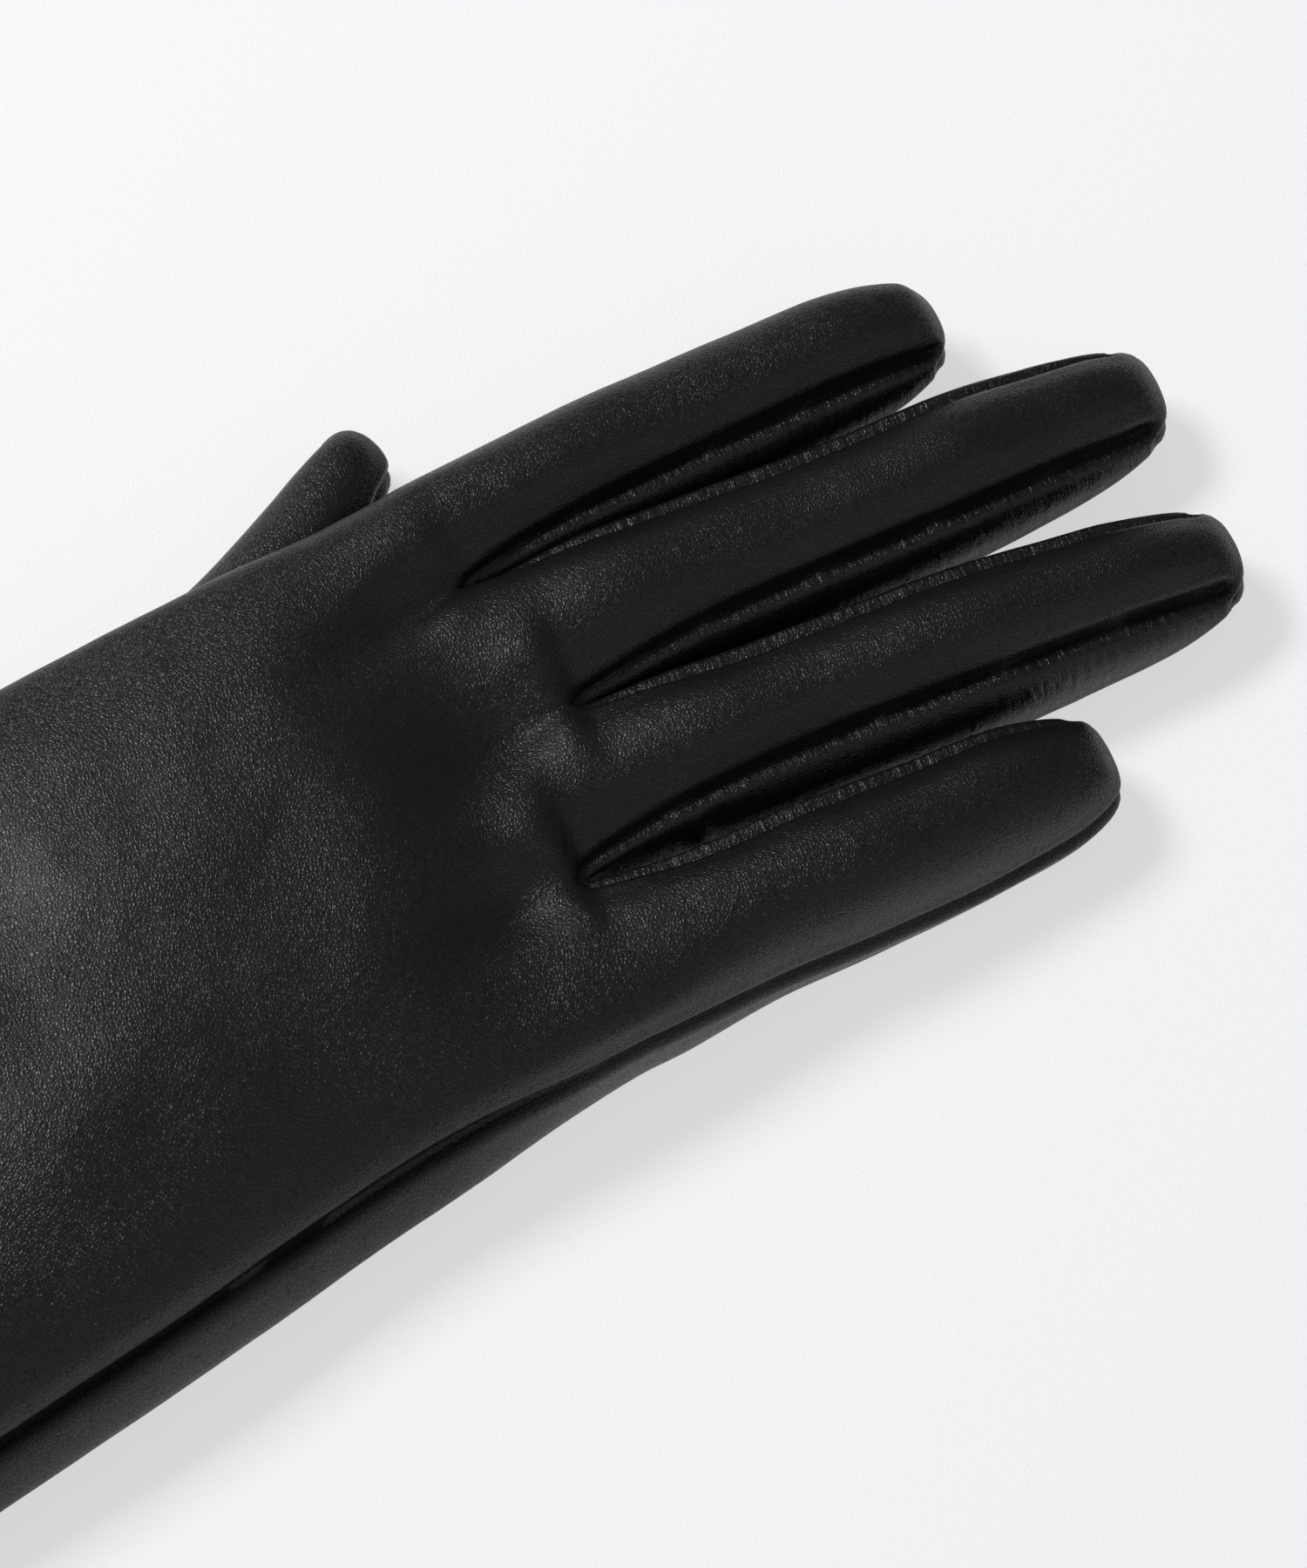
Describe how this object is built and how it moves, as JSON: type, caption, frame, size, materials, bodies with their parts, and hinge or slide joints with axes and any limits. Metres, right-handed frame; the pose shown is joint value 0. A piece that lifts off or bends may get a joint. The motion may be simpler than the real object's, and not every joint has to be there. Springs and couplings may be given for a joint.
{
  "type": "dress glove",
  "caption": "Leather dress glove for the right hand, lined, with gussets between the fingers, jointed fingers and thumb, and a turned-in cuff hem.",
  "frame": {"origin": "middle of the palm, on the surface that the glove lies on", "axes": "+X to the fingertips, +Y to the thumb side, +Z out of the back of the hand"},
  "size_m": [0.2399, 0.1286, 0.025],
  "materials": {
    "leather": "semi-matt black nappa with a fine pebble grain",
    "fourchette_leather": "semi-matt black nappa, finely creased",
    "thread": "matt black sewing thread",
    "lining": "matt charcoal knit",
    "label": "plain woven label with no marks"
  },
  "bodies": {
    "hand": {"trank": "leather", "thumb_gusset": "fourchette_leather", "side_seam_thread": "thread", "hand_lining": "lining", "cuff_hem": "leather", "cuff_stitching": "thread", "size_label": "label", "index_middle_fork": "fourchette_leather", "middle_ring_fork": "fourchette_leather", "ring_little_fork": "fourchette_leather"},
    "index_base": {"index_trank_base": "leather", "index_fourchette_base": "fourchette_leather", "index_seam_thread_base": "thread", "index_lining_base": "lining"},
    "index_tip": {"index_trank_tip": "leather", "index_fourchette_tip": "fourchette_leather", "index_seam_thread_tip": "thread", "index_lining_tip": "lining"},
    "middle_base": {"middle_back_base": "leather", "middle_palm_base": "leather", "middle_fourchettes_base": "fourchette_leather", "middle_seam_thread_base": "thread", "middle_lining_base": "lining"},
    "middle_tip": {"middle_back_tip": "leather", "middle_palm_tip": "leather", "middle_fourchettes_tip": "fourchette_leather", "middle_seam_thread_tip": "thread", "middle_lining_tip": "lining"},
    "ring_base": {"ring_back_base": "leather", "ring_palm_base": "leather", "ring_fourchettes_base": "fourchette_leather", "ring_seam_thread_base": "thread", "ring_lining_base": "lining"},
    "ring_tip": {"ring_back_tip": "leather", "ring_palm_tip": "leather", "ring_fourchettes_tip": "fourchette_leather", "ring_seam_thread_tip": "thread", "ring_lining_tip": "lining"},
    "little_base": {"little_back_base": "leather", "little_palm_base": "leather", "little_fourchette_base": "fourchette_leather", "little_seam_thread_base": "thread", "little_lining_base": "lining"},
    "little_tip": {"little_back_tip": "leather", "little_palm_tip": "leather", "little_fourchette_tip": "fourchette_leather", "little_seam_thread_tip": "thread", "little_lining_tip": "lining"},
    "thumb_base": {"thumb_leather_base": "leather", "thumb_seam_thread_base": "thread", "thumb_lining_base": "lining"},
    "thumb_tip": {"thumb_leather_tip": "leather", "thumb_seam_thread_tip": "thread", "thumb_lining_tip": "lining"}
  },
  "joints": [
    {"name": "index_root_bend", "type": "hinge", "parent": "hand", "child": "index_base", "pos_m": [0.05296, 0.04229, 0], "axis": [-0.0837, 0.9965, 0], "range_deg": [0, 70]},
    {"name": "index_middle_bend", "type": "hinge", "parent": "index_base", "child": "index_tip", "pos_m": [0.07838, 0.04442, 0], "axis": [-0.0837, 0.9965, 0], "range_deg": [0, 80]},
    {"name": "middle_root_bend", "type": "hinge", "parent": "hand", "child": "middle_base", "pos_m": [0.05999, 0.02419, 0], "axis": [-0.0436, 0.999, 0], "range_deg": [0, 70]},
    {"name": "middle_middle_bend", "type": "hinge", "parent": "middle_base", "child": "middle_tip", "pos_m": [0.09296, 0.02563, 0], "axis": [-0.0436, 0.999, 0], "range_deg": [0, 80]},
    {"name": "ring_root_bend", "type": "hinge", "parent": "hand", "child": "ring_base", "pos_m": [0.06, 0.0023, 0], "axis": [-0.0052, 1, 0], "range_deg": [0, 70]},
    {"name": "ring_middle_bend", "type": "hinge", "parent": "ring_base", "child": "ring_tip", "pos_m": [0.093, 0.00248, 0], "axis": [-0.0052, 1, 0], "range_deg": [0, 80]},
    {"name": "little_root_bend", "type": "hinge", "parent": "hand", "child": "little_base", "pos_m": [0.05149, -0.01988, 0], "axis": [-0.0419, 0.9991, 0], "range_deg": [0, 70]},
    {"name": "little_middle_bend", "type": "hinge", "parent": "little_base", "child": "little_tip", "pos_m": [0.07547, -0.01888, 0], "axis": [-0.0419, 0.9991, 0], "range_deg": [0, 80]},
    {"name": "thumb_spread", "type": "hinge", "parent": "hand", "child": "thumb_base", "pos_m": [-0.01518, 0.04121, 0], "axis": [0, 0, 1], "range_deg": [0, 35]},
    {"name": "thumb_bend", "type": "hinge", "parent": "thumb_base", "child": "thumb_tip", "pos_m": [0.01535, 0.04438, 0], "axis": [-0.3746, 0.9272, 0], "range_deg": [0, 60]}
  ]
}
